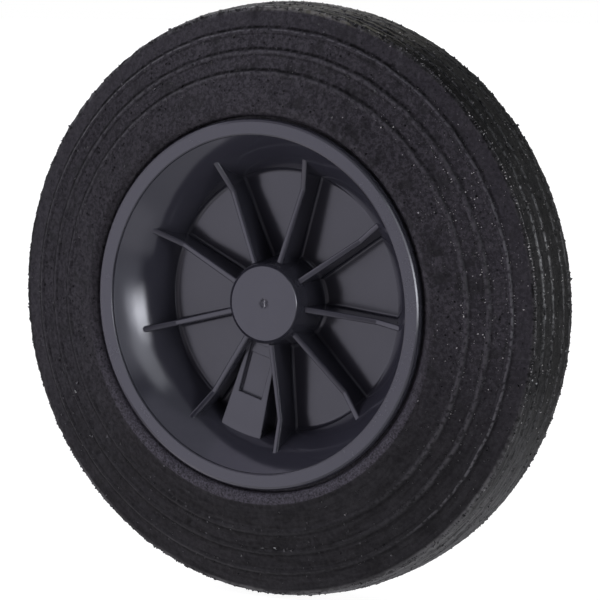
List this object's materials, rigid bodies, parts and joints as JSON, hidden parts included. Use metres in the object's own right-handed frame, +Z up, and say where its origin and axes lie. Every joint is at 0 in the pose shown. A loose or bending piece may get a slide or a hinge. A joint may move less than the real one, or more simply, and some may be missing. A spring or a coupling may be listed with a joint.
{
  "type": "wheelie bin wheel",
  "caption": "Solid rubber bin wheel with stepped sidewalls, a ribbed dished plastic hub with a blind outer boss, and a sprung bolt that locks it onto a plain axle.",
  "frame": {"origin": "middle of the wheel on the line of the axle", "axes": "+Y along the axle towards the bin, so the outer face looks along -Y; +Z up; +X to the right seen from the outer side"},
  "size_m": [0.2, 0.0515, 0.2],
  "materials": {
    "hub_plastic": "moulded blue-grey plastic, satin, smoother in the dish",
    "tyre_rubber": "rough moulded crumb rubber with pale specks",
    "bolt_plastic": "smooth black plastic",
    "spring_steel": "drawn spring wire"
  },
  "bodies": {
    "wheel": {"hub": "hub_plastic", "tyre": "tyre_rubber", "bolt_spring": "spring_steel"},
    "bolt": {"lock_bolt": "bolt_plastic"}
  },
  "joints": [
    {"name": "bolt_slide", "type": "slide", "parent": "wheel", "child": "bolt", "axis": [-0.2857, 0, -0.9583], "range_m": [0, 0.003], "stiffness_N_per_m": 500, "springref_m": -0.004, "deforming": ["bolt_spring"]}
  ]
}
